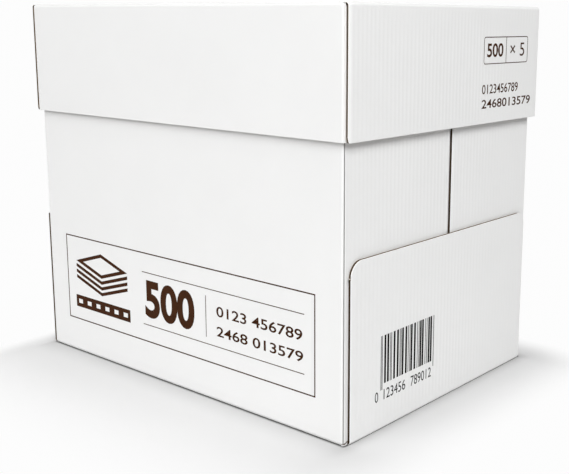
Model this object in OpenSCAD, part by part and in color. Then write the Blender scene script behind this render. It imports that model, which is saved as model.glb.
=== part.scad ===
// Carton of copier paper: a tray folded from one sheet of corrugated board, a lid folded from
// another that telescopes over it, and a stack of wrapped reams standing in the tray.
// The origin is the middle of the underside. X runs along the sheets' long side and Z is up.

/* [Paper] */
// Long side of a sheet
sheet_l = 297; // [250:1:420]
// Short side of a sheet
sheet_w = 210; // [180:1:300]
// Height of one wrapped ream
ream_h = 52; // [42:1:65]
// Number of reams in the stack
ream_count = 5; // [4:1:8]

/* [Ream wrapper] */
// Wrapper and air round the sheets, on each side
wrap_t = 0.3; // [0.2:0.1:1]
// Thickness of one folded layer of the wrapper
layer_t = 0.25; // [0.15:0.05:0.6]
// Radius of the long edges of a wrapped ream
ream_edge_r = 1.5; // [0.5:0.1:3]
// Width of the glued lap along the underside
lap_w = 60; // [30:1:120]
// Height of the fold turned up over each end
lower_fold_h = 34; // [26:1:40]
// Height of the fold turned down over it
upper_fold_h = 30; // [20:1:40]
// Lean of the end folds' side edges, from upright
fold_lean = 45; // [30:1:50]

/* [Board] */
// Thickness of the board, which is also the outer radius of its folds
board_t = 2; // [1.5:0.1:3]
// Width of a cut that frees one panel's edge from the panel next to it
cut_w = 0.5; // [0.3:0.1:1]
// Width of the strip that is pressed flat beside a fold
crease_w = 0.5; // [0.2:0.1:1]
// Thickness of the glue between two lapped panels
glue_t = 0.3; // [0.1:0.05:0.5]
// Width of a line of glue
glue_w = 6; // [3:1:10]
// Distance from a line of glue to the edges of the panels that it joins
glue_margin = 14; // [8:1:20]

/* [Tray] */
// Free space between a ream and the tray's walls
pack_clear = 1.4; // [0.5:0.1:4]
// Free height above the stack
head_h = 6; // [4.5:0.5:12]
// Height of the flap turned up over each end
flap_h = 117; // [60:1:150]
// Radius of a flap's upper corners
flap_r = 10; // [4:1:25]
// Distance from the carton's corner to a flap's side edge
flap_inset = 4.5; // [2.5:0.5:12]
// Height of the strip at a flap's foot that runs round to the corner
foot_h = 2.5; // [2:0.5:8]
// Width of the open seam where the two end panels meet
seam_w = 2; // [1:0.5:5]
// Distance of the seam from the middle of the end
seam_y = 5; // [0:1:30]

/* [Lid] */
// Depth of the lid, outside
lid_h = 80.5; // [50:0.5:130]
// Free space between the lid and the tray, on each side
lid_clear = 0.8; // [0.4:0.1:2]
// Distance from the lid's corner to an end skirt's side edge
skirt_inset = 2.8; // [2.2:0.1:6]
// Radius of an end skirt's lower corners
skirt_r = 5; // [2:0.5:15]
// Thickness left at the lid's corners above the open slots
web_t = 1.2; // [0.8:0.1:1.4]
// Length of the glue tabs behind the end skirts
tab_l = 45; // [30:1:90]
// Rise of a tab's lower edge above the lid's rim
tab_rise = 1.5; // [0.5:0.5:6]
// Slant of a tab's upper and lower edges over its length
tab_slant = 6; // [0:1:15]

/* [Hidden] */
$fn = 48;

// A wrapped ream
core_l = sheet_l + 2 * wrap_t;
ream_l = core_l + 4 * layer_t;
ream_w = sheet_w + 2 * wrap_t;

// The tray, from the reams outwards
tray_in_l = ream_l + 2 * pack_clear;
tray_in_w = ream_w + 2 * pack_clear;
tray_h = board_t + ream_count * ream_h + head_h;
end_x = tray_in_l / 2 + board_t;
side_y = tray_in_w / 2 + board_t;
flap_y = side_y - flap_inset;
panel_z = board_t + cut_w;

// The lid, from the tray outwards
lid_top = tray_h + board_t;
lid_in_w = 2 * (side_y + lid_clear);
lid_y = lid_in_w / 2 + board_t;
tab_in_x = end_x + lid_clear;
tab_x = tab_in_x + board_t;
skirt_y = lid_y - skirt_inset;

// How far a cutting shape runs past what it cuts
past = 1;

// A shape in Y and Z, drawn out from x0 to x1
module between_x(x0, x1) translate([x0, 0, 0]) rotate([90, 0, 90]) linear_extrude(x1 - x0) children();

// A section in Y and Z, drawn out along X by length l
module along_x(l) between_x(-l / 2, l / 2) children();

// A section in X and Z, drawn out along Y by length l
module along_y(l) rotate([90, 0, 0]) linear_extrude(l, center = true) children();

// Its children, and their mirror image at the far end or side
module both(axis) for (side = [0, 1]) mirror(side * axis) children();

// A rectangle round the origin with rounded corners
module rounded_rect(l, w, r) {
    square([l - 2 * r, w], center = true);
    square([l, w - 2 * r], center = true);
    for (x = [-1, 1], y = [-1, 1]) translate([x * (l / 2 - r), y * (w / 2 - r)]) circle(r);
}

// Section of a panel that lies flat with a wall folded up at each side
module folded_section(inner_w, wall_h) difference() {
    union() {
        translate([-inner_w / 2, 0]) square([inner_w, board_t + wall_h]);
        translate([-inner_w / 2 - board_t, board_t]) square([inner_w + 2 * board_t, wall_h]);
        for (x = [-1, 1]) translate([x * inner_w / 2, board_t]) circle(board_t);
    }
    translate([-inner_w / 2, board_t]) square([inner_w, wall_h + past]);
}

// Plan of upright walls that turn round the corners of a space
module ring(inner_l, inner_w) difference() {
    rounded_rect(inner_l + 2 * board_t, inner_w + 2 * board_t, board_t);
    square([inner_l, inner_w], center = true);
}

// Outline of a flap that stands on z = 0, with its upper corners rounded
module flap_outline(half_w, h, r) {
    translate([0, h / 2]) rounded_rect(2 * half_w, h, r);
    translate([-half_w, 0]) square([2 * half_w, h / 2]);
}

// Flaps folded up from both ends of a panel at x = fold_x, with their rounded upper corners. At
// their root a strip of height root_h, outside x = root_x, runs round to the corners at corner_y.
module end_flaps(fold_x, half_w, h, r, root_x, corner_y, root_h) {
    intersection() {
        along_y(2 * half_w) folded_section(2 * fold_x, h - board_t);
        along_x(2 * (fold_x + board_t)) flap_outline(half_w, h, r);
    }
    intersection() {
        along_y(2 * corner_y) folded_section(2 * fold_x, h - board_t);
        linear_extrude(root_h) difference() {
            rounded_rect(2 * (fold_x + board_t), 2 * corner_y, corner_y - half_w);
            square([2 * root_x, 2 * (corner_y + past)], center = true);
        }
    }
}

// A level line of glue from y0 to y1 between two lapped panels, the inner with its face at x. It
// soaks into the boards on both sides.
module glue_line(x, y0, y1, z)
    translate([x - board_t / 2, y0, z]) cube([glue_t + board_t, y1 - y0, glue_w]);

// Two lines of glue behind the flap at +X, on each of the end panels
module flap_glue() {
    edge = flap_y - glue_margin;
    reach = seam_w / 2 + glue_margin;
    for (z = [glue_margin, flap_h - glue_margin - glue_w]) {
        glue_line(end_x, -edge, seam_y - reach, z);
        glue_line(end_x, seam_y + reach, edge, z);
    }
}

module tray() color("#f1f1ef") {
    along_x(tray_in_l) folded_section(tray_in_w, tray_h - board_t);
    translate([0, 0, panel_z]) linear_extrude(tray_h - panel_z) difference() {
        ring(tray_in_l, tray_in_w);
        translate([-end_x - past, seam_y - seam_w / 2]) square([2 * (end_x + past), seam_w]);
    }
    end_flaps(end_x + glue_t, flap_y, flap_h, flap_r, tray_in_l / 2, side_y, foot_h);
    both([1, 0, 0]) flap_glue();
}

// Outline of the glue tab at +Y, in Y and Z, with the lid lying on its top
module tab_outline() {
    root = lid_in_w / 2;
    polygon([
        [root, panel_z],
        [root - tab_l, panel_z + tab_slant],
        [root - tab_l, lid_h - tab_rise - tab_slant],
        [root, lid_h - tab_rise]
    ]);
}

// The glue tab at +X +Y, with its two lines of glue
module corner_tab() {
    between_x(tab_in_x, tab_x) tab_outline();
    for (z = [panel_z + glue_margin, lid_h - glue_margin - glue_w])
        glue_line(tab_x, lid_in_w / 2 - tab_l + glue_w, lid_in_w / 2 - glue_w, z);
}

// The lid is drawn lying on its top, and turned over onto the tray
module lid() color("#f3f3f1") translate([0, 0, lid_top]) mirror([0, 0, 1]) {
    along_x(2 * tab_in_x) folded_section(lid_in_w, lid_h - board_t);
    translate([0, 0, panel_z]) linear_extrude(lid_h - panel_z) difference() {
        ring(2 * tab_in_x, lid_in_w);
        square([2 * (tab_x + past), lid_in_w - 2 * crease_w], center = true);
    }
    end_flaps(tab_x + glue_t, skirt_y, lid_h, skirt_r, tab_in_x, lid_y, web_t);
    both([1, 0, 0]) both([0, 1, 0]) corner_tab();
}

// Outline of one end fold: it narrows upwards from the full width of the ream
module end_fold_outline(h) {
    root = ream_w / 2 - ream_edge_r;
    tip = root - h * tan(fold_lean);
    polygon([[-root, 0], [root, 0], [tip, h], [-tip, h]]);
}

// The folds over the end at +X: one turned up, and one turned down over it
module end_folds() {
    inside = core_l / 2 - layer_t;
    translate([0, 0, layer_t]) between_x(inside, core_l / 2 + layer_t) end_fold_outline(lower_fold_h);
    translate([0, 0, ream_h]) mirror([0, 0, 1])
        between_x(inside, core_l / 2 + 2 * layer_t) end_fold_outline(upper_fold_h);
}

// Section of a wrapped ream, with its long edges rounded and the lap under it
module ream_section() {
    h = ream_h - layer_t;
    translate([-lap_w / 2, 0]) square([lap_w, layer_t + past]);
    translate([0, layer_t + h / 2]) rounded_rect(ream_w, h, ream_edge_r);
}

// One wrapped ream of the stack, counted from the bottom
module ream(i) color("#f7f7f8") translate([0, 0, board_t + (i - 1) * ream_h]) {
    along_x(core_l) ream_section();
    both([1, 0, 0]) end_folds();
}

tray();
lid();
for (i = [1 : ream_count]) ream(i);
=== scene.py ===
# %% [markdown]
# # A carton of copier paper
# The carton is two pieces of corrugated board: a deep tray, and a lid that slides down over it. Five
# wrapped reams stand inside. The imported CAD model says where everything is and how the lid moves, and
# this script gives each piece its looks. Everything is drawn in millimetres in the CAD model's frame,
# with Z up, X along the sheets' long side, and the printed front facing -Y.

# %% Load the fixed frame
import math

import bmesh
import bpy
from mathutils import Matrix, Vector


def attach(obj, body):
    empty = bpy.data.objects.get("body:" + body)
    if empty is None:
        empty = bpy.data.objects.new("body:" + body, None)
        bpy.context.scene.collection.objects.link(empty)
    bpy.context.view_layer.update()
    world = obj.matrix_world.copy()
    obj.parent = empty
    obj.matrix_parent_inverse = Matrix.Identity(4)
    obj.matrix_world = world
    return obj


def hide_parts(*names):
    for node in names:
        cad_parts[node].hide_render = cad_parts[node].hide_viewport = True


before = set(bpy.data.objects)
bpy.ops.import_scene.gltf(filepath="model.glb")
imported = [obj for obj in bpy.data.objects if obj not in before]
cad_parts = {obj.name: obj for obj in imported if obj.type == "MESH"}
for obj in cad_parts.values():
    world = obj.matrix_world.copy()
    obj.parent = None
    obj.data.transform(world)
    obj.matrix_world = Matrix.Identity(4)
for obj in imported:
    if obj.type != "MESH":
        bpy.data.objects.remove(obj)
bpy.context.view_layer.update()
MM = 0.001

# %% [markdown]
# ## The camera
# The photograph was taken from a little below the lid's top, at a corner of the carton. Its upright
# edges stay nearly parallel, so the camera was held level and the frame cropped. A level camera with a
# shifted lens gives that, but a large shift would push the carton out of other views. So this camera
# looks down a little, and a small shift makes up the rest.

# %% Camera
CAMERA_PLACE = Vector((0.50454, -0.53261, 0.25944))
AZIMUTH, ELEVATION, ROLL = (math.radians(a) for a in (39.32, 10.96, 0.36))
LENS, SENSOR_WIDTH = 60.34, 36
SHIFT_X, SHIFT_Y = -0.1151, -0.0562
NEAREST, FARTHEST = 0.01, 100


def aim_camera():
    """Adds the camera, looking back along the azimuth and elevation that the photograph was taken from."""
    lens = bpy.data.cameras.new("camera")
    lens.lens, lens.sensor_width = LENS, SENSOR_WIDTH
    lens.shift_x, lens.shift_y = SHIFT_X, SHIFT_Y
    lens.clip_start, lens.clip_end = NEAREST, FARTHEST
    camera = bpy.data.objects.new("camera", lens)
    bpy.context.scene.collection.objects.link(camera)
    turn = Matrix.Rotation(AZIMUTH, 4, "Z") @ Matrix.Rotation(math.pi / 2 - ELEVATION, 4, "X")
    camera.matrix_world = Matrix.Translation(CAMERA_PLACE) @ turn @ Matrix.Rotation(ROLL, 4, "Z")
    bpy.context.scene.camera = camera
    return camera


camera = aim_camera()
print("camera at", tuple(round(c, 3) for c in camera.location))

# %% [markdown]
# ## Writing a finish
# A finish is a tree of shader nodes. Sums are easier to read as Python, so a small class holds one
# output of a node, and adding or multiplying it adds the Math node. Colours go through Mix nodes,
# because a Math node would turn them grey.

# %% A wire between nodes, and the finish it belongs to
class Wire:
    """One output of a node. Arithmetic on it adds Math nodes, so mask * 0.5 + 0.2 reads as it works."""

    def __init__(self, finish, socket):
        self.finish, self.socket = finish, socket

    def math(self, operation, *values):
        return self.finish.add("ShaderNodeMath", {"operation": operation}, dict(enumerate(values)))

    def sine(self):
        return self.math("SINE", self)

    def root(self):
        return self.math("SQRT", self)

    def larger(self, other):
        return self.math("MAXIMUM", self, other)

    def __add__(self, other):
        return self.math("ADD", self, other)

    def __sub__(self, other):
        return self.math("SUBTRACT", self, other)

    def __mul__(self, other):
        return self.math("MULTIPLY", self, other)

    def __gt__(self, other):
        return self.math("GREATER_THAN", self, other)

    def __lt__(self, other):
        return self.math("LESS_THAN", self, other)

    def __abs__(self):
        return self.math("ABSOLUTE", self)


class Finish:
    """A tree of shader nodes, built up node by node. It belongs to a new material or world."""

    def __init__(self, name, kind="Material"):
        owners = {"Material": bpy.data.materials, "World": bpy.data.worlds}
        self.owner = owners[kind].new(name)
        self.owner.use_nodes = True
        self.tree = self.owner.node_tree
        self.tree.nodes.clear()
        self.output = self.tree.nodes.new(f"ShaderNodeOutput{kind}")

    def add(self, kind, settings=None, inputs=None, output=0):
        """Adds a node: its settings first, then the values or wires of its inputs. Returns one output."""
        node = self.tree.nodes.new(kind)
        for name, value in (settings or {}).items():
            setattr(node, name, value)
        for name, value in (inputs or {}).items():
            if isinstance(value, Wire):
                self.tree.links.new(value.socket, node.inputs[name])
            else:
                node.inputs[name].default_value = value
        return Wire(self, node.outputs[output])

    def place(self):
        """Where a point is on the object, in metres."""
        return self.add("ShaderNodeTexCoord", output="Object")

    def axes(self, vector):
        """The three parts of a vector."""
        split = self.add("ShaderNodeSeparateXYZ", None, {0: vector}).socket.node
        return [Wire(self, split.outputs[i]) for i in range(3)]

    def noise(self, size, detail=2, roughness=0.5, stretch=(1, 1, 1)):
        """Smooth noise from 0 to 1, with features of about that size in metres."""
        where = self.add("ShaderNodeMapping", None, {"Vector": self.place(), "Scale": stretch})
        inputs = {"Vector": where, "Scale": 1 / size, "Detail": detail, "Roughness": roughness}
        return self.add("ShaderNodeTexNoise", None, inputs)

    def ramp(self, value, low, high):
        """Goes smoothly from 0 to 1 as the value goes from low to high."""
        inputs = {"Value": value, "From Min": low, "From Max": high}
        return self.add("ShaderNodeMapRange", {"interpolation_type": "SMOOTHSTEP"}, inputs)

    def mix(self, share, a, b):
        """Colour a where share is 0, and colour b where it is 1."""
        a, b = (colour if isinstance(colour, Wire) else (*colour, 1) for colour in (a, b))
        return self.add("ShaderNodeMix", {"data_type": "RGBA"}, {0: share, 6: a, 7: b}, output=2)

    def bump(self, height, depth):
        """Tilts the surface as if the height, from 0 to 1, stood up by depth metres."""
        return self.add("ShaderNodeBump", None, {"Height": height, "Distance": depth, "Strength": 1})

    def end(self, shader):
        """Ends the tree in a shader. Returns the material or the world."""
        self.tree.links.new(shader.socket, self.output.inputs["Surface"])
        return self.owner

    def surface(self, **inputs):
        """Ends the tree in a Principled shader. Underscores in the names stand for spaces."""
        inputs = {name.replace("_", " "): value for name, value in inputs.items()}
        for name, value in inputs.items():
            if isinstance(value, tuple) and len(value) == 3:
                inputs[name] = (*value, 1)
        return self.end(self.add("ShaderNodeBsdfPrincipled", None, inputs))


print("finishes can be written")

# %% [markdown]
# ## Paper finishes
# The outside of the board is a white liner with a matt clay coat. The flutes under it show through as
# faint upright lines where light grazes the surface, which is on the two ends. They are a sine of the
# place along the panel, added to the bump and, hardly visible, to the colour as painted shade. Fine noise
# gives the fibres, and a wide one the clouds that any sheet of paper has. The same liner in grey goes to
# the bottom of the tray's corner creases, as painted shade.

# %% White liner
FLUTE_PITCH = 4 * MM
FACING = 0.8
# The grey liner is painted shade for the bottom of the tray's corner creases.
WHITE, CREASE_SHADE_GREY, SPECK = (0.845, 0.845, 0.84), (0.5, 0.5, 0.49), (0.45, 0.42, 0.38)
DARKER = 0.975


def flute_lines(finish, on_sides=0.15):
    """Upright lines at the flutes' pitch: full on the ends, and faint on the long sides."""
    x, y, _ = finish.axes(finish.place())
    normal_x, normal_y, _ = finish.axes(finish.add("ShaderNodeNewGeometry", output="Normal"))
    uneven = finish.noise(22 * MM, stretch=(1, 1, 0.25)) * 2.6
    along_x, along_y = ((place * (math.tau / FLUTE_PITCH) + uneven).sine() for place in (x, y))
    return along_y * (abs(normal_x) > FACING) + along_x * (abs(normal_y) > FACING) * on_sides


def white_liner(name, tone):
    finish = Finish(name)
    fibres = finish.noise(0.5 * MM, detail=4, roughness=0.7)
    clouds = finish.noise(45 * MM, detail=2)
    lines = flute_lines(finish)
    speck = finish.ramp(finish.noise(0.9 * MM, detail=1), 0.76, 0.80)
    # The flute lines in the colour are painted shade. The fibres and clouds are the paper's own tone.
    shade = finish.ramp(fibres * 0.35 + clouds * 0.5 + lines * 0.05, 0.2, 0.7)
    paper = finish.mix(shade, tuple(c * DARKER for c in tone), tone)
    paper = finish.mix(speck * 0.12, paper, SPECK)
    height = fibres * 0.02 + clouds * 0.3 + lines * 0.08
    return finish.surface(
        Base_Color=paper,
        Roughness=fibres * 0.12 + 0.52,
        Specular_IOR_Level=0.35,
        Normal=finish.bump(height, 0.4 * MM),
    )


tray_white = white_liner("white_liner_tray", WHITE)
lid_white = white_liner("white_liner_lid", WHITE)
crease_shade_liner = white_liner("crease_painted_shade_liner", CREASE_SHADE_GREY)
print("liners:", tray_white.name, lid_white.name, crease_shade_liner.name)

# %% [markdown]
# The inside of the board, and the fluted sheet between its two faces, are brown kraft paper. Its long
# fibres lie along the flutes. A cut through the board shows the pale edge of the outer liner, and the
# dark hollow of the flutes beside it. The fluting's kraft is painted much darker than the liner's, as
# painted shade for those hollows.

# %% Brown kraft and the cut edge
def kraft(name, light, dark, fleck):
    finish = Finish(name)
    fibres = finish.noise(0.8 * MM, detail=4, roughness=0.65, stretch=(1, 1, 0.12))
    clouds = finish.noise(30 * MM, detail=3)
    shade = finish.ramp(fibres * 0.7 + clouds * 0.3, 0.32, 0.68)
    paper = finish.mix(shade, dark, light)
    flecks = finish.ramp(finish.noise(1.1 * MM, detail=2, stretch=(1, 1, 0.3)), 0.68, 0.74)
    paper = finish.mix(flecks * 0.4, paper, fleck)
    lines = flute_lines(finish, on_sides=1.0)
    return finish.surface(
        Base_Color=paper,
        Roughness=fibres * 0.15 + 0.7,
        Specular_IOR_Level=0.25,
        Normal=finish.bump(fibres * 0.06 + lines * 0.12, 0.4 * MM),
    )


kraft_inside = kraft(
    "kraft_liner", light=(0.42, 0.285, 0.175), dark=(0.33, 0.215, 0.125), fleck=(0.18, 0.11, 0.06)
)
# Kraft for the fluting, painted much darker as shade in the hollows.
shaded_fluting = kraft(
    "kraft_fluting_painted_shade", light=(0.13, 0.082, 0.047), dark=(0.085, 0.053, 0.03), fleck=(0.05, 0.032, 0.02)
)
cut_paper = kraft(
    "cut_liner_edge", light=(0.66, 0.60, 0.53), dark=(0.50, 0.44, 0.37), fleck=(0.35, 0.29, 0.22)
)
print("kraft:", kraft_inside.name, shaded_fluting.name, cut_paper.name)

# %% [markdown]
# ## Turning a drawing into a piece
# Each piece is drawn with bmesh in millimetres, in its real place, and scaled to metres at the end, so
# its object stays at the origin. Faces are shaded smooth except at real edges. A Weighted Normal
# modifier makes the large flat faces decide the shading at a fold's border, so that they stay flat.

# %% From bmesh to object
SLIVER = 0.0005
SMOOTH_BELOW = math.radians(35)


def make_piece(name, bm, finishes, body):
    """Turns a drawing into an object that rides on a body. Edges shorter than a sliver are closed up."""
    bmesh.ops.dissolve_degenerate(bm, dist=SLIVER, edges=bm.edges[:])
    bmesh.ops.scale(bm, vec=(MM, MM, MM), verts=bm.verts)
    mesh = bpy.data.meshes.new(name)
    bm.to_mesh(mesh)
    bm.free()
    for finish in finishes:
        mesh.materials.append(finish)
    mesh.shade_smooth()
    mesh.set_sharp_from_angle(angle=SMOOTH_BELOW)
    piece = bpy.data.objects.new(name, mesh)
    bpy.context.scene.collection.objects.link(piece)
    shading = piece.modifiers.new("flat_faces_lead", "WEIGHTED_NORMAL")
    shading.keep_sharp = True
    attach(piece, body)
    mesh.calc_loop_triangles()
    print(f"{name}: {len(mesh.loop_triangles)} triangles")
    return piece


print(f"edges are sharp from {math.degrees(SMOOTH_BELOW):.0f} degrees up")

# %% [markdown]
# ## Corrugated board, from a flat sheet
# Tray and lid are each made from one flat sheet, which is cut, scored and then folded. The script does
# the same, in the same order. A rectangle is ruled into cells with bisect_plane and the waste cells are
# deleted, which leaves the blank. It is extruded to the board's thickness, its outer edge is rounded as
# the die crushes it, and the open edges are inset and pushed in, so that they are hollow between the
# two liners. Last, the folds are scored with a few close cuts, so that the sheet can bend there. A
# blank has four like quarters, so places on it are given by how far they are from its two middle lines.

# %% Ruling and trimming the blank
BOARD = 2.0
NEAR = 0.01  # places closer than this are the same place
# Slot 3 is kraft fluting darkened with painted shade, and slot 4 is grey liner painted as shade in the
# creases.
OUTER_LINER, INNER_LINER, CUT_EDGE, SHADED_FLUTING, CREASE_SHADE = range(5)


def spot(face):
    """Where a face's middle is, as |x| and |y|."""
    return [abs(c) for c in face.calc_center_median().xy]


def rule(bm, axis, places, where=lambda x, y: True):
    """Cuts the cells in the region where(|x|, |y|) along lines at +place and -place on an axis."""
    across = Vector((0, 0, 0))
    across[axis] = 1
    for place in places:
        for side in (-1, 1):
            cells = [f for f in bm.faces if where(*spot(f))]
            parts = dict.fromkeys(part for f in cells for part in (f, *f.edges, *f.verts))
            bmesh.ops.bisect_plane(bm, geom=list(parts), plane_co=across * side * place, plane_no=across)


def trim(bm, kept):
    """Deletes the cells whose middle isn't in the kept region, which is given x and y."""
    waste = [f for f in bm.faces if not kept(*f.calc_center_median().xy)]
    bmesh.ops.delete(bm, geom=waste, context="FACES")


def corners_at(bm, x, y):
    """The vertices at (+-x, +-y)."""
    return [v for v in bm.verts if abs(abs(v.co.x) - x) < NEAR and abs(abs(v.co.y) - y) < NEAR]


def round_corners(bm, x, y, radius, segments=8):
    """Rounds the blank's corners at (+-x, +-y)."""
    bmesh.ops.bevel(
        bm, geom=corners_at(bm, x, y), offset=radius, offset_type="OFFSET", segments=segments,
        profile=0.5, affect="VERTICES", material=-1,
    )


def whole_sheet(half_length, half_width):
    """A rectangle to cut the blank from."""
    bm = bmesh.new()
    bmesh.ops.create_grid(bm, x_segments=1, y_segments=1, size=1)
    bmesh.ops.scale(bm, vec=(half_length, half_width, 1), verts=bm.verts)
    return bm


print(f"board: {BOARD:g} mm thick")

# %% Thickness, rounded outer edge and hollow open edges
CRUSH = 0.3
LIP = 0.2
HOLLOW = 4.0
SUNK = 3.2
HAIR = 0.001  # an inset that only serves to push faces in


def lift_copy(bm, faces, by):
    """Extrudes faces, and moves the copy by a vector. Returns the copy's vertices."""
    copy = bmesh.ops.extrude_face_region(bm, geom=faces, use_keep_orig=True)["geom"]
    lifted = [part for part in copy if isinstance(part, bmesh.types.BMVert)]
    bmesh.ops.translate(bm, verts=lifted, vec=by)
    return lifted


def thicken(bm):
    """Gives the blank the board's thickness. Its outer face stays down, at z = 0."""
    lift_copy(bm, bm.faces[:], (0, 0, BOARD))
    bmesh.ops.recalc_face_normals(bm, faces=bm.faces[:])
    for f in bm.faces:
        f.material_index = CUT_EDGE
        if abs(f.normal.z) > 0.5:
            f.material_index = INNER_LINER if f.normal.z > 0 else OUTER_LINER


def crush_outer_edge(bm):
    """Rounds the outer face's edge all round the blank."""
    rim = [e for e in bm.edges if {f.material_index for f in e.link_faces} == {CUT_EDGE, OUTER_LINER}]
    crushed = bmesh.ops.bevel(
        bm, geom=rim, offset=CRUSH, offset_type="OFFSET", segments=3, profile=0.5, affect="EDGES",
        material=-1, clamp_overlap=False,
    )
    for f in crushed["faces"]:
        f.material_index = OUTER_LINER


def cut_faces(bm, where):
    """The cut faces in the region where(|x|, |y|)."""
    return [f for f in bm.faces if f.material_index == CUT_EDGE and where(*spot(f))]


def push_in(bm, faces, depth):
    """Sinks faces between the two liners. What shows inside gets the fluting finish, kraft darkened as
    painted shade.
    """
    walls = bmesh.ops.inset_region(
        bm, faces=faces, thickness=HAIR, depth=-depth, use_boundary=True, use_even_offset=True
    )["faces"]
    for f in faces + walls:
        f.material_index = SHADED_FLUTING


def hollow_open_edges(bm, is_open):
    """Sinks the cut faces in a region, and leaves a lip along both liners."""
    cut = cut_faces(bm, is_open)
    bmesh.ops.inset_region(bm, faces=cut, thickness=LIP, use_boundary=True, use_even_offset=True)
    push_in(bm, cut, HOLLOW)


def sink_side_edges(bm, is_side, lip):
    """Sinks the cut faces of upright edges, past a lip along the outer liner: here the cut runs along
    a flute, and the sheet inside springs back."""
    parts = dict.fromkeys(part for f in cut_faces(bm, is_side) for part in (f, *f.edges, *f.verts))
    bmesh.ops.bisect_plane(bm, geom=list(parts), plane_co=(0, 0, lip), plane_no=(0, 0, 1))
    push_in(bm, [f for f in cut_faces(bm, is_side) if f.calc_center_median().z > lip], SUNK)


def cover_corner_edges(bm, is_corner):
    """At the corners the die presses the outer liner over the cut edge, so that it stays white."""
    for f in cut_faces(bm, is_corner):
        f.material_index = OUTER_LINER


print(f"cut edges: {HOLLOW:g} mm deep across the flutes, and {SUNK:g} mm along them")

# %% [markdown]
# The knife that cuts the board presses its edge down, so the outer face curves in over the last few
# millimetres. It is hardly a shape, but it is what draws a bright or a dark line beside each edge. A few
# close rows are ruled there first, and then the whole thickness is squeezed, most at the edge.

# %% Pressed edges
PRESSED = 2.8
RUN_OUT = 2.2
ROW_SHARES = (0.22, 0.45, 0.7, 1)


def rows_beside(edge):
    """Where to rule the sheet beside an edge, so that it can curve."""
    return [edge - PRESSED * share for share in ROW_SHARES]


def press_edge(bm, axis, edge, depth, where):
    """Squeezes the sheet towards the edges at +-edge on the axis, in the region where(x, y)."""
    for v in bm.verts:
        nearness = 1 - (edge - abs(v.co[axis])) / PRESSED
        if 0 < nearness < 1 + NEAR and where(v.co.x, v.co.y):
            v.co.z += depth * nearness ** 2 * (1 - v.co.z / BOARD)


print("rows at mm from the edge:", [round(-row, 2) for row in rows_beside(0)])

# %% [markdown]
# ## Flutes and folds
# Where the flutes end in an open edge, the edge shows the wavy sheet between the liners. It is a thin
# strip, divided eight times per wave, whose points follow a sine. Only the first few millimetres can be
# seen, so the strip is no deeper. A fold then bends everything past its line: points inside the fold
# turn about its centre by their distance along the sheet, and points beyond it turn by a right angle.
# A score leaves a shallow dent along the outside of each fold.

# %% Flutes
STEPS_PER_FLUTE = 8
MEDIUM = 0.22
ROOT, SHY = 0.2, 0.12


def add_flutes(bm, along, start, end, edge, side):
    """Adds the wavy sheet behind an open edge that runs from start to end along an axis. It has its root
    in the solid board, and is a little shy of the edge."""
    pitch = FLUTE_PITCH / MM
    steps = round((end - start) / pitch * STEPS_PER_FLUTE)
    inner, outer = edge - HOLLOW - ROOT, edge - SHY
    grid = bmesh.ops.create_grid(bm, x_segments=steps, y_segments=1, size=0.5)["verts"]
    faces = list(dict.fromkeys(f for v in grid for f in v.link_faces))
    strip = grid + lift_copy(bm, faces, (0, 0, MEDIUM))
    bmesh.ops.scale(bm, vec=(end - start, outer - inner, 1), verts=strip)
    bmesh.ops.translate(bm, verts=strip, vec=((start + end) / 2, (outer + inner) / 2, 0))
    middle = (CRUSH + BOARD - MEDIUM) / 2
    swing = (BOARD - CRUSH - 2 * LIP - MEDIUM) / 2
    for v in strip:
        v.co.z += middle + swing * math.sin(math.tau * v.co.x / pitch)
        v.co.y *= side
        if along == 1:
            v.co.x, v.co.y = v.co.y, v.co.x
    faces = list(dict.fromkeys(f for v in strip for f in v.link_faces))
    bmesh.ops.recalc_face_normals(bm, faces=faces)
    # The wavy sheet takes the fluting finish, darkened as painted shade.
    for f in faces:
        f.material_index = SHADED_FLUTING


print(f"flutes: one every {FLUTE_PITCH / MM:g} mm, of paper {MEDIUM} mm thick")

# %% Scoring and folding
FOLD_R = 2.3
ARC = FOLD_R * math.pi / 2
FOLD_ANGLES = [math.radians(a) for a in (0, 11, 22, 33, 42, 48, 53, 58, 64, 72, 81, 90)]
SCORE_DEPTH, CORNER_SCORE_DEPTH, FLAP_SCORE_DEPTH = 0.5, 1.1, 0.2
SCORE_ANGLE, SCORE_SPREAD = math.radians(53), math.radians(12)
SCORE_MARGIN = 0.4


def flat(face, height):
    """Where a line at this height lies on the flat sheet, if the panel's outer face folds up to face."""
    return face - FOLD_R + ARC + height - FOLD_R


def score(bm, axis, face, where):
    """Divides the sheet along a fold, with one more line on each side."""
    line = face - FOLD_R
    steps = [line + FOLD_R * angle for angle in FOLD_ANGLES]
    rule(bm, axis, [line - SCORE_MARGIN, *steps, line + ARC + SCORE_MARGIN], where)


def fold(bm, axis, face, chosen, dent=SCORE_DEPTH):
    """Folds up what lies past both lines, so that its outer face stands at +-face on the axis."""
    line = face - FOLD_R
    for v in bm.verts:
        past = abs(v.co[axis]) - line
        if past <= 0 or not chosen(abs(v.co.x), abs(v.co.y)):
            continue
        angle = min(past / FOLD_R, math.pi / 2)
        left = past - angle * FOLD_R
        reach = FOLD_R - v.co.z
        if v.co.z < CRUSH + LIP + NEAR and left <= 0:
            reach -= dent * max(0, 1 - abs(angle - SCORE_ANGLE) / SCORE_SPREAD)
        side = math.copysign(1, v.co[axis])
        v.co[axis] = side * (line + reach * math.sin(angle) + left * math.cos(angle))
        v.co.z = FOLD_R - reach * math.cos(angle) + left * math.sin(angle)


print(f"a fold takes up {ARC:.2f} mm of the sheet")

# %% [markdown]
# Three parts of the sheet meet at each corner. The end panel there is cut free of the base by a slit, so
# its lower rim would stand above the base like a step. On the real carton the die presses the strip
# under it thin, and the rim is drawn down and in as the corner is folded. The strip's inner face gets
# the dark fluting finish, as painted shade for the slit above it.

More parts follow.
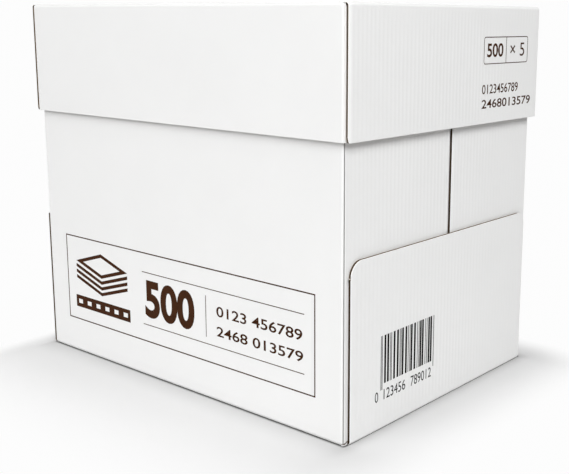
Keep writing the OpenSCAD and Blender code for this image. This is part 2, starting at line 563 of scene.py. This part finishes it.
# %% Corners
PANEL_Z = 2.5
SLIT = 0.2
RIM_ROW, RIM_BAND = 1.2, 0.4
CREASED = 0.8


def rim_at_corners(bm, corner_x, wall_foot):
    """The wall's lower rim where it goes round the corners: each vertex with how far it is to be lowered,
    and how far round the corner it is, both as a share of 1."""
    rim = {}
    for v in bm.verts:
        round_corner, up = abs(v.co.x) - corner_x, abs(abs(v.co.y) - wall_foot)
        if up < RIM_BAND and NEAR < round_corner < ARC + RUN_OUT:
            beyond = max(0, round_corner - ARC) / RUN_OUT
            rim[v] = ((1 - beyond) * (1 - up), min(1, round_corner / ARC))
    return rim


def close_corners(rim, corner_x, corner_y, strip_t, gap, gape):
    """Draws the rim down to a gap above the strip, which opens by gape round the corner, and curves it
    in as much as the fold beside it."""
    for v, (share, turned) in rim.items():
        v.co.z -= (PANEL_Z - strip_t - gap - gape * turned) * share
        under = max(0, FOLD_R - v.co.z)
        tuck = (FOLD_R - math.sqrt(FOLD_R ** 2 - under ** 2)) * share
        out = Vector((max(0, abs(v.co.x) - corner_x), max(0, abs(v.co.y) - corner_y), 0)).normalized() * tuck
        v.co.x -= math.copysign(out.x, v.co.x)
        v.co.y -= math.copysign(out.y, v.co.y)


def press_strip_paint_shade(bm, strip_t, where):
    """Presses the strip at each corner thin, in the region where(|x|, |y|), and paints its inner face with
    the dark fluting finish, as painted shade.
    """
    for v in bm.verts:
        if where(abs(v.co.x), abs(v.co.y)):
            v.co.z *= strip_t / BOARD
    # Painted shade: the strip's inner face turns dark fluting.
    for f in bm.faces:
        if f.material_index == INNER_LINER and where(*spot(f)):
            f.material_index = SHADED_FLUTING


def paint_crease_shade(bm, corner_x, wall_foot):
    """The bottom of each corner's dent gets the grey liner, as painted shade."""
    for f in bm.faces:
        x, y = spot(f)
        off = abs((x - corner_x) / FOLD_R - SCORE_ANGLE) / SCORE_SPREAD
        if f.material_index == OUTER_LINER and y > wall_foot - NEAR and off < CREASED:
            f.material_index = CREASE_SHADE


print(f"a wall's foot is {PANEL_Z} mm above the outer face, before its rim is drawn down")

# %% [markdown]
# ## The tray
# The tray's sheet is a base with a wall at the front and back, a panel at both ends of each wall, and a
# flap at each end of the base. The panels turn round the corners and almost meet, off the middle of the
# end, and the flap is glued over them. The thin pressed strip at the flap's foot runs round to the
# corners. The panels' edges are pressed down at the seam, so light falls into it differently on its two
# sides, and the flap's side edges are pressed a little.

# %% Tray sizes
TRAY_H, END_X, SIDE_Y, FLAP_X, FLAP_Y = 268, 152.7, 108.7, 155.0, 104.2
FLAP_H, FLAP_R, FOOT_T, FOOT_IN, FOOT_R = 117, 10, 1.0, 0.9, 1.35
SEAM_Y, SEAM_W = 5, 2.4
SEAM_LIP, FLAP_LIP = 0.35, 0.3
FRONT_SEAM_PRESS, BACK_SEAM_PRESS, FLAP_PRESS = 1.0, 0.55, 0.3
FOOT_GAP, FOOT_GAPE = 0.3, 0.3
FLUTE_MARGIN = 0.5
ASIDE = 0.1  # past a line by more than this is beyond it
print(f"tray: {2 * END_X:g} x {2 * SIDE_Y:g} x {TRAY_H} mm, with flaps {FLAP_H} mm high")

# %% Tray blank
def tray_blank():
    wall_foot, wall_rim = flat(SIDE_Y, PANEL_Z), flat(SIDE_Y, TRAY_H)
    front_seam = flat(END_X, SIDE_Y + SEAM_Y - SEAM_W / 2)
    back_seam = flat(END_X, SIDE_Y - SEAM_Y - SEAM_W / 2)
    flap_top = flat(FLAP_X, FLAP_H)
    corner_x, corner_y, foot_y = END_X - FOLD_R, SIDE_Y - FOLD_R, SIDE_Y - FOOT_IN

    def kept(x, y):
        seam = front_seam if y < 0 else back_seam
        x, y = abs(x), abs(y)
        is_wall = x < corner_x
        is_end_panel = y > wall_foot and x < seam
        is_foot = y < foot_y and x < END_X and (y < corner_y or x > corner_x + SLIT)
        return is_wall or is_end_panel or is_foot or y < FLAP_Y

    def is_row(x, y):
        return y > wall_foot - NEAR

    def is_low_row(x, y):
        return is_row(x, y) and y < wall_foot + RIM_ROW + NEAR

    def is_beyond_end(x, y):
        return is_row(x, y) and x > END_X

    def is_corner(x, y):
        return corner_x - ASIDE < x < END_X + ASIDE and FLAP_Y < y < wall_foot + ASIDE

    def is_seam(x, y):
        return y > wall_foot + ASIDE and min(abs(x - front_seam), abs(x - back_seam)) < ASIDE

    def is_flap_side(x, y):
        return abs(y - FLAP_Y) < ASIDE and END_X < x < flap_top - FLAP_R

    bm = whole_sheet(flap_top, wall_rim)
    rule(bm, 1, [FLAP_Y, corner_y, foot_y, wall_foot, wall_foot + RIM_ROW])
    rule(bm, 0, [corner_x, corner_x + SLIT, END_X])
    rule(bm, 0, [front_seam, back_seam], is_row)
    rule(bm, 0, [corner_x + ARC + RUN_OUT], is_low_row)
    trim(bm, kept)
    round_corners(bm, flap_top, FLAP_Y, FLAP_R)
    round_corners(bm, END_X, foot_y, FOOT_R, segments=5)
    rule(bm, 0, rows_beside(front_seam), is_beyond_end)
    rule(bm, 0, rows_beside(back_seam), is_beyond_end)
    rule(bm, 0, [END_X + RUN_OUT], lambda x, y: y < FLAP_Y and x > END_X)
    rule(bm, 1, rows_beside(FLAP_Y), lambda x, y: x > END_X)
    thicken(bm)
    crush_outer_edge(bm)
    cover_corner_edges(bm, is_corner)
    sink_side_edges(bm, is_seam, SEAM_LIP)
    sink_side_edges(bm, is_flap_side, FLAP_LIP)
    hollow_open_edges(bm, lambda x, y: y > wall_rim - ASIDE or (y < FLAP_Y and x > flap_top - FLAP_R))
    press_edge(bm, 0, front_seam, FRONT_SEAM_PRESS, lambda x, y: y < -wall_foot)
    press_edge(bm, 0, back_seam, BACK_SEAM_PRESS, lambda x, y: y > wall_foot)
    press_edge(bm, 1, FLAP_Y, FLAP_PRESS, lambda x, y: abs(x) > END_X + RUN_OUT - NEAR)
    score(bm, 1, SIDE_Y, lambda x, y: x < corner_x + NEAR)
    score(bm, 0, END_X, is_row)
    score(bm, 0, FLAP_X, lambda x, y: y < foot_y + NEAR)
    for side, seam in ((-1, front_seam), (1, back_seam)):
        add_flutes(bm, 0, -seam + FLUTE_MARGIN, seam - FLUTE_MARGIN, wall_rim, side)
    for side in (-1, 1):
        add_flutes(bm, 1, -FLAP_Y + FLAP_R, FLAP_Y - FLAP_R, flap_top, side)
    paint_crease_shade(bm, corner_x, wall_foot)
    press_strip_paint_shade(bm, FOOT_T, lambda x, y: x > corner_x + SLIT / 2 and FLAP_Y + NEAR < y < foot_y + NEAR)
    rim = rim_at_corners(bm, corner_x, wall_foot)
    fold(bm, 0, FLAP_X, lambda x, y: y < foot_y + NEAR, FLAP_SCORE_DEPTH)
    fold(bm, 0, END_X, lambda x, y: y > foot_y + NEAR, CORNER_SCORE_DEPTH)
    fold(bm, 1, SIDE_Y, lambda x, y: x < corner_x + NEAR or y > foot_y + NEAR)
    close_corners(rim, corner_x, corner_y, FOOT_T, FOOT_GAP, FOOT_GAPE)
    return bm


board_finishes = [kraft_inside, cut_paper, shaded_fluting, crease_shade_liner]
tray = make_piece("tray_board", tray_blank(), [tray_white, *board_finishes], "tray")
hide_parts("tray")

# %% [markdown]
# ## The lid
# The lid's sheet is the same idea with shallow skirts. Here the long skirts end in tabs, which are
# glued behind the end skirts, so that the outside shows a narrow slot beside each corner. The end
# skirt's side edges are pressed down, which makes the slot's bright border. The sheet is folded lying
# on its outer face, and turned over onto the tray.

# %% Lid sizes
LID_TOP, LID_H, LID_Y, TAB_X, SKIRT_X, SKIRT_Y = 270, 80.5, 111.5, 154.9, 157.8, 110.4
SKIRT_R, SKIRT_LIP, SKIRT_PRESS = 3.5, 0.7, 0.8
TAB_L, TAB_RISE, TAB_SLANT = 47, 1.5, 6
STRIP_T, STRIP_GAP, STRIP_GAPE = 0.8, 0.15, 0.1
print(f"lid: {2 * SKIRT_X:g} x {2 * LID_Y:g} x {LID_H} mm")

# %% Lid blank
def lid_blank():
    tab_foot, skirt_rim, tab_rim = (flat(LID_Y, h) for h in (PANEL_Z, LID_H, LID_H - TAB_RISE))
    corner_x, corner_y = TAB_X - FOLD_R, LID_Y - FOLD_R
    tab_root, tab_end, end_rim = corner_x + ARC, flat(TAB_X, TAB_L), flat(SKIRT_X, LID_H)

    def kept(x, y):
        x, y = abs(x), abs(y)
        is_long_skirt = x < corner_x
        is_tab = tab_foot < y < (tab_rim if x > tab_root else skirt_rim) and x < tab_end
        is_end_skirt = y < SKIRT_Y and (y < corner_y or x > corner_x + SLIT)
        return is_long_skirt or is_tab or is_end_skirt

    def is_row(x, y):
        return y > tab_foot - NEAR

    def is_low_row(x, y):
        return is_row(x, y) and y < tab_foot + RIM_ROW + NEAR

    def is_corner(x, y):
        return corner_x - ASIDE < x < TAB_X + ASIDE and corner_y < y < tab_foot + ASIDE

    def is_skirt_side(x, y):
        return abs(y - SKIRT_Y) < ASIDE and TAB_X < x < end_rim - SKIRT_R

    def is_open(x, y):
        is_tab_rim = y > tab_foot + ASIDE and tab_root + ASIDE < x < tab_end - ASIDE
        return y > skirt_rim - ASIDE or is_tab_rim or (y < SKIRT_Y and x > end_rim - SKIRT_R)

    def is_strip(x, y):
        return corner_x + SLIT / 2 < x < TAB_X + NEAR and corner_y - NEAR < y < SKIRT_Y + NEAR

    bm = whole_sheet(end_rim, skirt_rim)
    rule(bm, 1, [corner_y, SKIRT_Y, tab_foot])
    rule(bm, 0, [corner_x, corner_x + SLIT, TAB_X])
    rule(bm, 0, [tab_root, tab_end], is_row)
    rule(bm, 1, [tab_rim], lambda x, y: x > tab_root - NEAR)
    rule(bm, 1, [tab_foot + RIM_ROW], lambda x, y: is_row(x, y) and x < tab_end + NEAR)
    rule(bm, 0, [tab_root + RUN_OUT], is_low_row)
    trim(bm, kept)
    for height, slant in ((tab_foot, TAB_SLANT), (tab_rim, -TAB_SLANT)):
        for v in corners_at(bm, tab_end, height):
            v.co.y += math.copysign(1, v.co.y) * slant
    round_corners(bm, end_rim, SKIRT_Y, SKIRT_R)
    rule(bm, 0, [TAB_X + RUN_OUT], lambda x, y: y < SKIRT_Y and x > TAB_X)
    rule(bm, 1, rows_beside(SKIRT_Y), lambda x, y: x > TAB_X and y < SKIRT_Y)
    thicken(bm)
    crush_outer_edge(bm)
    cover_corner_edges(bm, is_corner)
    sink_side_edges(bm, lambda x, y: y > tab_foot + ASIDE and x > tab_end - ASIDE, SKIRT_LIP)
    sink_side_edges(bm, is_skirt_side, SKIRT_LIP)
    hollow_open_edges(bm, is_open)
    press_edge(bm, 1, SKIRT_Y, SKIRT_PRESS, lambda x, y: abs(x) > TAB_X + RUN_OUT - NEAR)
    score(bm, 1, LID_Y, lambda x, y: x < corner_x + NEAR)
    score(bm, 0, TAB_X, is_row)
    score(bm, 0, SKIRT_X, lambda x, y: y < SKIRT_Y + NEAR)
    for side in (-1, 1):
        add_flutes(bm, 0, -corner_x - ARC, corner_x + ARC, skirt_rim, side)
        add_flutes(bm, 1, -SKIRT_Y + SKIRT_R, SKIRT_Y - SKIRT_R, end_rim, side)
    press_strip_paint_shade(bm, STRIP_T, is_strip)
    rim = rim_at_corners(bm, corner_x, tab_foot)
    fold(bm, 0, SKIRT_X, lambda x, y: y < SKIRT_Y + NEAR, FLAP_SCORE_DEPTH)
    fold(bm, 0, TAB_X, lambda x, y: y > SKIRT_Y + NEAR)
    fold(bm, 1, LID_Y, lambda x, y: x < corner_x + NEAR or y > SKIRT_Y + NEAR)
    close_corners(rim, corner_x, corner_y, STRIP_T, STRIP_GAP, STRIP_GAPE)
    bmesh.ops.rotate(bm, cent=(0, 0, 0), matrix=Matrix.Rotation(math.pi, 3, "X"), verts=bm.verts)
    bmesh.ops.translate(bm, vec=(0, 0, LID_TOP), verts=bm.verts)
    return bm


lid = make_piece("lid_board", lid_blank(), [lid_white, *board_finishes], "lid")
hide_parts("lid")

# %% [markdown]
# ## The wrapped reams
# Each ream is a stack of sheets in a paper wrapper, closed like a parcel: the sides are tucked in at
# each end, a fold is turned up from below, and another is turned down over it. A bevelled block gives
# the stack its soft long edges. The folds are thin plates, cut to a trapezium by moving their corners,
# and their free edges lift a little, because glue holds only their middle.

# %% Ream wrapper finish
def ream_wrapper():
    finish = Finish("ream_wrapper")
    fibres = finish.noise(0.7 * MM, detail=3)
    creases = finish.noise(38 * MM, detail=5, roughness=0.6)
    paper = finish.mix(finish.ramp(creases, 0.3, 0.7), (0.79, 0.80, 0.815), (0.845, 0.85, 0.855))
    return finish.surface(
        Base_Color=paper,
        Roughness=creases * 0.2 + 0.28,
        Coat_Weight=0.15,
        Coat_Roughness=0.25,
        Normal=finish.bump(creases * 0.9 + fibres * 0.02, 0.5 * MM),
    )


wrapper = ream_wrapper()
print("wrapper:", wrapper.name)

# %% Ream sizes and shape
CORE_L, REAM_W, REAM_H, REAMS, LAYER = 297.6, 210.6, 52, 5, 0.25
EDGE_R, END_EDGE_R = 1.5, 0.5
LAP_W, LAP_SHORT = 60, 1
LOWER_FOLD, LOWER_FOOT = 34, LAYER + 0.2
UPPER_FOLD, UPPER_FOOT = 30, REAM_H - 0.3
FREE_EDGE = 0.15


def add_plate(bm, corners, thickness):
    """A flat plate with these corners, thickened along its normal. Returns its outer vertices."""
    face = bm.faces.new([bm.verts.new(c) for c in corners])
    face.normal_update()
    lifted = lift_copy(bm, [face], face.normal.copy() * thickness)
    plate = list(dict.fromkeys(f for v in lifted for f in v.link_faces)) + [face]
    bmesh.ops.recalc_face_normals(bm, faces=plate)
    return lifted


def ream_block(bottom):
    bm = bmesh.new()
    size = (CORE_L, REAM_W, REAM_H - LAYER)
    bmesh.ops.create_cube(bm, size=1)
    bmesh.ops.scale(bm, vec=size, verts=bm.verts)
    bmesh.ops.translate(bm, vec=(0, 0, LAYER + size[2] / 2), verts=bm.verts)
    long_edges = [e for e in bm.edges if abs(e.verts[0].co.x - e.verts[1].co.x) > 1]
    bmesh.ops.bevel(
        bm, geom=long_edges, offset=EDGE_R, offset_type="OFFSET", segments=5, profile=0.5,
        affect="EDGES", material=-1,
    )
    end_edges = [
        e for e in bm.edges if e.calc_face_angle(0) > 1 and abs(e.verts[0].co.x - e.verts[1].co.x) < NEAR
    ]
    bmesh.ops.bevel(
        bm, geom=end_edges, offset=END_EDGE_R, offset_type="OFFSET", segments=3, profile=0.5,
        affect="EDGES", material=-1,
    )
    root = REAM_W / 2 - EDGE_R
    for side in (-1, 1):
        end = side * CORE_L / 2
        for foot, tall, depth in ((LOWER_FOOT, LOWER_FOLD, 1), (UPPER_FOOT, -UPPER_FOLD, 2)):
            tip = root - abs(tall)
            edge = foot + tall
            outline = [(end, -root, foot), (end, root, foot), (end, tip, edge), (end, -tip, edge)]
            if side * tall < 0:
                outline.reverse()
            for v in add_plate(bm, outline, depth * LAYER):
                if abs(v.co.z - edge) < NEAR:
                    v.co.x += side * FREE_EDGE
    lap = [(-CORE_L / 2 + LAP_SHORT, y, LAYER) for y in (LAP_W / 2, -LAP_W / 2)]
    lap += [(CORE_L / 2 - LAP_SHORT, y, LAYER) for y in (-LAP_W / 2, LAP_W / 2)]
    add_plate(bm, lap, LAYER)
    bmesh.ops.translate(bm, vec=(0, 0, bottom), verts=bm.verts)
    return bm


for i in range(REAMS):
    block = ream_block(BOARD + i * REAM_H)
    ream = make_piece(f"ream_{i + 1}_wrapped", block, [wrapper], "tray")
    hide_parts(f"ream_{i + 1}")

# %% [markdown]
# ## The print
# The carton is printed in one dark brown ink, in a frame on each long side and in small marks on the
# ends. The ink is modelled as thin plates a few hundredths of a millimetre thick, so that its edges stay
# crisp at any distance. The wording of the photograph is left out. Its places hold plain numbers, thin
# lines, a row of boxes and a pictogram of a stack of sheets, in the same sizes, so that the sides carry
# about as much ink as in the photograph.

# %% Ink
def ink(name, colour, missing):
    """Ink on board: a little uneven, with pin holes where the paper's fibres stayed dry."""
    finish = Finish(name)
    clouds = finish.noise(6 * MM, detail=3)
    pin_holes = finish.ramp(finish.noise(0.35 * MM, detail=2), 0.66, 0.74)
    shade = finish.mix(finish.ramp(clouds, 0.3, 0.7), colour, tuple(c * 1.25 for c in colour))
    return finish.surface(
        Base_Color=finish.mix(pin_holes * missing, shade, (0.6, 0.55, 0.5)),
        Roughness=0.6,
        Specular_IOR_Level=0.06,
    )


brown_ink = ink("brown_ink", colour=(0.040, 0.0125, 0.003), missing=0.06)
black_ink = ink("black_ink", colour=(0.006, 0.0055, 0.005), missing=0.04)
print("inks:", brown_ink.name, black_ink.name)

# %% Printed shapes, drawn in u to the right and v up
def add_bar(bm, u0, v0, u1, v1, radius=0.0):
    """A filled rectangle. Returns its face."""
    middle = Matrix.Translation(((u0 + u1) / 2, (v0 + v1) / 2, 0))
    size = Matrix.Diagonal((u1 - u0, v1 - v0, 1, 1))
    corners = bmesh.ops.create_grid(bm, x_segments=1, y_segments=1, size=0.5, matrix=middle @ size)["verts"]
    face = corners[0].link_faces[0]
    if radius:
        rounded = bmesh.ops.bevel(
            bm, geom=corners, offset=radius, offset_type="OFFSET", segments=5, profile=0.5,
            affect="VERTICES", material=-1,
        )
        face = rounded["verts"][0].link_faces[0]
    return face


def add_frame(bm, u0, v0, u1, v1, line, radius=0.0):
    """The outline of a rectangle, as wide as line."""
    inside = add_bar(bm, u0, v0, u1, v1, radius)
    bmesh.ops.inset_region(bm, faces=[inside], thickness=line, use_boundary=True, use_even_offset=True)
    bmesh.ops.delete(bm, geom=[inside], context="FACES")


def add_numbers(bm, text, u0, v0, u1, v1, weight=0.0):
    """Figures, stretched to fill the box. Weight makes their strokes bolder."""
    curve = bpy.data.curves.new("figures", "FONT")
    curve.body, curve.resolution_u, curve.offset = text, 6, weight
    figures = bpy.data.objects.new("figures", curve)
    bpy.context.scene.collection.objects.link(figures)
    bpy.context.view_layer.update()
    flat_mesh = bpy.data.meshes.new_from_object(figures.evaluated_get(bpy.context.evaluated_depsgraph_get()))
    bpy.data.objects.remove(figures)
    bpy.data.curves.remove(curve)
    figure_bm = bmesh.new()
    figure_bm.from_mesh(flat_mesh)
    bmesh.ops.remove_doubles(figure_bm, verts=figure_bm.verts, dist=1e-5)
    low = [min(v.co[a] for v in figure_bm.verts) for a in (0, 1)]
    high = [max(v.co[a] for v in figure_bm.verts) for a in (0, 1)]
    bmesh.ops.translate(figure_bm, vec=(-low[0], -low[1], 0), verts=figure_bm.verts)
    stretch = ((u1 - u0) / (high[0] - low[0]), (v1 - v0) / (high[1] - low[1]), 1)
    bmesh.ops.scale(figure_bm, vec=stretch, verts=figure_bm.verts)
    bmesh.ops.translate(figure_bm, vec=(u0, v0, 0), verts=figure_bm.verts)
    figure_bm.to_mesh(flat_mesh)
    figure_bm.free()
    bm.from_mesh(flat_mesh)
    bpy.data.meshes.remove(flat_mesh)


print("shapes can be drawn")

# %% Plates of ink on a panel
INK = 0.05
EMBED = 0.01


def ink_plates(bm, surface):
    """Thickens the flat shapes and lays them on a surface, given by a matrix of right, up and out."""
    lift_copy(bm, bm.faces[:], (0, 0, INK))
    bmesh.ops.recalc_face_normals(bm, faces=bm.faces[:])
    bmesh.ops.transform(bm, matrix=surface, verts=bm.verts)


def facing(origin, right, up):
    """Lays u along right and v along up, at the origin. The shapes face right x up."""
    out = Vector(right).cross(Vector(up))
    columns = Matrix((right, up, out)).transposed().to_4x4()
    return Matrix.Translation(origin) @ columns


def combine(first, *others):
    """Adds the shapes of other bmeshes to the first."""
    for other in others:
        shapes = bpy.data.meshes.new("shapes")
        other.to_mesh(shapes)
        other.free()
        first.from_mesh(shapes)
        bpy.data.meshes.remove(shapes)
    return first


print(f"ink: {INK} mm thick, of which {EMBED} mm is in the board")

# %% [markdown]
# The front and the back carry the same print. A stack of sheets is drawn as an outlined diamond with
# three bent stripes under it, and each stripe starts as a bar whose middle is pulled down.

# %% Print on the long sides
STACK_DROP = 0.29
STRIPE_PITCH = 1.75
OUTLINE, BOX_LINE, SHEET_LINE, THIN = 0.9, 3.1, 2.6, 0.6
BOXES, FIRST_BOX, BOX_PITCH = 6, -120.5, 11.2
BOLD, FIRM, PLAIN = 0.035, 0.012, 0.008


def add_sheet_stack(bm, u0, v0, u1, v1, line):
    """A pictogram of a stack of sheets that fills the box."""
    middle = (u0 + u1) / 2
    drop = (v1 - v0) * STACK_DROP
    diamond = [(middle, v1), (u0, v1 - drop), (middle, v1 - 2 * drop), (u1, v1 - drop)]
    face = bm.faces.new([bm.verts.new((u, v, 0)) for u, v in diamond])
    face.normal_update()
    bmesh.ops.inset_region(bm, faces=[face], thickness=line, use_boundary=True, use_even_offset=True)
    bmesh.ops.delete(bm, geom=[face], context="FACES")
    for i in range(3):
        top = v0 + drop + (2 - i) * line * STRIPE_PITCH + line
        stripe = add_bar(bm, u0, top - line, u1, top)
        sides = [e for e in stripe.edges if abs(e.verts[0].co.x - e.verts[1].co.x) > 1]
        new = bmesh.ops.subdivide_edges(bm, edges=sides, cuts=1)["geom_split"]
        for v in (part for part in new if isinstance(part, bmesh.types.BMVert)):
            if abs(v.co.x - middle) < NEAR:
                v.co.y -= drop


def side_print():
    bm = bmesh.new()
    add_frame(bm, -130.5, 26.5, 130.2, 94, OUTLINE)
    add_sheet_stack(bm, -118.5, 51, -55.5, 84, SHEET_LINE)
    for i in range(BOXES):
        left = FIRST_BOX + i * BOX_PITCH
        add_frame(bm, left, 37, left + BOX_PITCH, 46.6, BOX_LINE)
    for low in (78.9, 39.4):
        add_bar(bm, -38, low, 121, low + THIN)
    add_bar(bm, 29.7, 44.5, 29.7 + THIN, 74.1)
    add_numbers(bm, "500", -35.4, 45.5, 18.3, 74, weight=BOLD)
    add_numbers(bm, "0123 456789", 40.6, 61.3, 119.3, 68.7, weight=FIRM)
    add_numbers(bm, "2468 013579", 40.6, 47.2, 120, 54.4, weight=FIRM)
    return bm


def two_sides():
    """The print on the front and the back of the tray."""
    front, back = side_print(), side_print()
    ink_plates(front, facing((0, EMBED - SIDE_Y, 0), (1, 0, 0), (0, 0, 1)))
    ink_plates(back, facing((0, SIDE_Y - EMBED, 0), (-1, 0, 0), (0, 0, 1)))
    return combine(front, back)


make_piece("tray_side_print", two_sides(), [brown_ink], "tray")

# %% [markdown]
# The lid's ends carry a small box with a number, and two rows under it. One flap of the tray has a
# barcode. Its bars follow a made-up rhythm, and the figures under it only count up.

# %% Print on the ends
MODULE, GAP = 0.641, 0.641 * 0.9
CODE_START, LAST_GUARD, CODE_LAST, CODE_END = -73.9, -15.5, -13.6, -13
FIRST_GUARDS = (0, 1)
CODE_TOP, BAR_FOOT, GUARD_FOOT, FIGURES_FOOT = 63.3, 31, 27, 20
FIGURES = (("0", -79.7, -76.3), ("123456", -70.5, -47), ("789012", -41, -17.3))


def lid_end_print():
    bm = bmesh.new()
    add_frame(bm, 33.8, 230.3, 93.9, 249, THIN, radius=2)
    add_bar(bm, 63.2, 230.8, 63.2 + THIN, 248.5)
    add_numbers(bm, "500", 38, 235, 59.5, 244.5, weight=0.02)
    add_numbers(bm, "\u00d7 5", 69, 235, 89, 244.5)
    add_numbers(bm, "0123456789", 32.8, 210, 81.6, 216.5, weight=PLAIN)
    add_numbers(bm, "2468013579", 32.9, 200, 100.3, 206.2, weight=FIRM)
    return bm


def lid_ends():
    """The print on both ends of the lid."""
    near, far = lid_end_print(), lid_end_print()
    ink_plates(near, facing((SKIRT_X - EMBED, 0, 0), (0, 1, 0), (0, 0, 1)))
    ink_plates(far, facing((EMBED - SKIRT_X, 0, 0), (0, -1, 0), (0, 0, 1)))
    return combine(near, far)


def barcode():
    """Bars of one to three modules, with uneven gaps. The guard bars at its start and end are longer."""
    bm = bmesh.new()
    place, i = CODE_START, 0
    while place < CODE_LAST:
        width = (1 + (i * i + 3 * i) % 4 % 3) * MODULE
        is_guard = i in FIRST_GUARDS or place > LAST_GUARD
        add_bar(bm, place, GUARD_FOOT if is_guard else BAR_FOOT, min(place + width, CODE_END), CODE_TOP)
        place += width + (1 + (i * 5 + i // 3) % 3) * GAP
        i += 1
    for figures, left, right in FIGURES:
        add_numbers(bm, figures, left, FIGURES_FOOT, right, GUARD_FOOT)
    ink_plates(bm, facing((FLAP_X - EMBED, 0, 0), (0, 1, 0), (0, 0, 1)))
    print("barcode:", i, "bars")
    return bm


make_piece("lid_end_print", lid_ends(), [brown_ink], "lid")
make_piece("flap_barcode", barcode(), [black_ink], "tray")

# %% [markdown]
# ## Floor, light and background
# The photograph has a white background, and only a soft grey shadow where the carton stands. The floor
# is a plain pale disc, and that shadow is painted into its colour: darkest in a thin line at the
# carton's foot, and lighter over a few centimetres, faster at the ends and behind, where the shadow is
# narrow. Far off it is darker again, so that it throws less light on the carton's sides. With distance
# it turns into the background for what the camera sees, straight, in a shine or through glass, and so
# adds no light to the carton.

# %% Floor
FLOOR_R, FADE = 12, 0.13
FOOT_X, FOOT_Y = END_X * MM, (SIDE_Y - FOLD_R) * MM
BACKDROP = (0.98, 0.98, 0.98, 1)
AT_ENDS, MORE_AT_LEFT, IN_FRONT, MORE_BEHIND = 2, 3, 1, 2
# Steps of the painted shadow round the carton's foot, and of the darker floor far off: start, end, strength.
CONTACT, NEARBY = (0.0005, 0.004, 0.49), (0, 0.025, 0.12)
AROUND, FAR_OFF = (0, 0.10, 0.065), (0.11, 0.4, 0.31)
DARKEST = 0.065


def seen_by_camera(finish):
    """1 on the way to the camera, straight, in a shine or through glass, and 0 elsewhere."""
    rays = ("Camera", "Glossy", "Transmission")
    camera, glossy, passed = (finish.add("ShaderNodeLightPath", output=f"Is {ray} Ray") for ray in rays)
    return camera.larger(glossy).larger(passed)


def floor_paint():
    """Painted shadow: greys by the distance from the carton's foot. Each step has a start, an end and a
    strength.
    """
    finish = Finish("floor")
    x, y, _ = finish.axes(finish.place())
    past_x, past_y = (abs(x) - FOOT_X).larger(0), (abs(y) - FOOT_Y).larger(0)
    away = (past_x * past_x + past_y * past_y).root()
    past_ends = past_x * ((x < 0) * MORE_AT_LEFT + AT_ENDS)
    past_sides = past_y * ((y > 0) * MORE_BEHIND + IN_FRONT)
    apart = (past_ends * past_ends + past_sides * past_sides).root()

    def step(distance, start, end, strength):
        return finish.ramp(distance, start, end) * strength

    # How far out of the painted shadow each point of the floor is.
    out_of_painted_shadow = step(apart, *CONTACT) + step(apart, *NEARBY) + step(away, *AROUND)
    tone = finish.mix(out_of_painted_shadow + DARKEST - step(away, *FAR_OFF), (0, 0, 0), (1, 1, 1))
    paint = finish.add("ShaderNodeBsdfDiffuse", None, {"Color": tone})
    white = finish.add("ShaderNodeEmission", None, {"Color": BACKDROP, "Strength": 1})
    share = finish.ramp(apart, 0.0, FADE) * seen_by_camera(finish)
    return finish.end(finish.add("ShaderNodeMixShader", None, {0: share, 1: paint, 2: white}))


def add_floor():
    bm = bmesh.new()
    bmesh.ops.create_circle(bm, cap_ends=True, radius=FLOOR_R, segments=96)
    mesh = bpy.data.meshes.new("floor")
    bm.to_mesh(mesh)
    bm.free()
    mesh.materials.append(floor_paint())
    floor = bpy.data.objects.new("floor", mesh)
    bpy.context.scene.collection.objects.link(floor)
    return floor


floor = add_floor()
print(f"{floor.name}: {2 * FLOOR_R} m across")

# %% [markdown]
# An even white world gives the softness. The key lamp lights the end, and a larger lamp in front
# makes the printed side a little brighter than the end. A third one lights the back. They stand no
# higher than they must, because the top of a white lid soon turns plain white under a high lamp.

# %% World and lamps
WORLD_STRENGTH = 0.27
LAMP_AIM = Vector((0, 0, 0.13))
LAMPS = {
    "key_lamp": ((1.304, -0.729, 1.4), 0.9, 28.8),
    "front_lamp": ((-0.42, -1.83, 1.2), 1.4, 20.8),
    "back_lamp": ((-1.3, 1.6, 0.3), 1.2, 19),
}


def light_world(strength):
    """Lights evenly from all sides. The camera sees the backdrop's white instead."""
    finish = Finish("studio", kind="World")
    light = finish.add("ShaderNodeBackground", None, {"Color": (1, 1, 1, 1), "Strength": strength})
    backdrop = finish.add("ShaderNodeBackground", None, {"Color": BACKDROP, "Strength": 1})
    both = finish.add("ShaderNodeMixShader", None, {0: seen_by_camera(finish), 1: light, 2: backdrop})
    bpy.context.scene.world = finish.end(both)


def add_lamp(name, place, size, power):
    """A square soft lamp that faces the middle of the carton."""
    lamp = bpy.data.lights.new(name, "AREA")
    lamp.shape, lamp.size, lamp.energy = "SQUARE", size, power
    obj = bpy.data.objects.new(name, lamp)
    bpy.context.scene.collection.objects.link(obj)
    toward = LAMP_AIM - Vector(place)
    obj.matrix_world = Matrix.Translation(place) @ toward.to_track_quat("-Z", "Y").to_matrix().to_4x4()
    print(f"{name}: {size} m wide, {power} W")


light_world(WORLD_STRENGTH)
for name, (place, size, power) in LAMPS.items():
    add_lamp(name, place, size, power)
bpy.context.scene.view_settings.view_transform = "Standard"
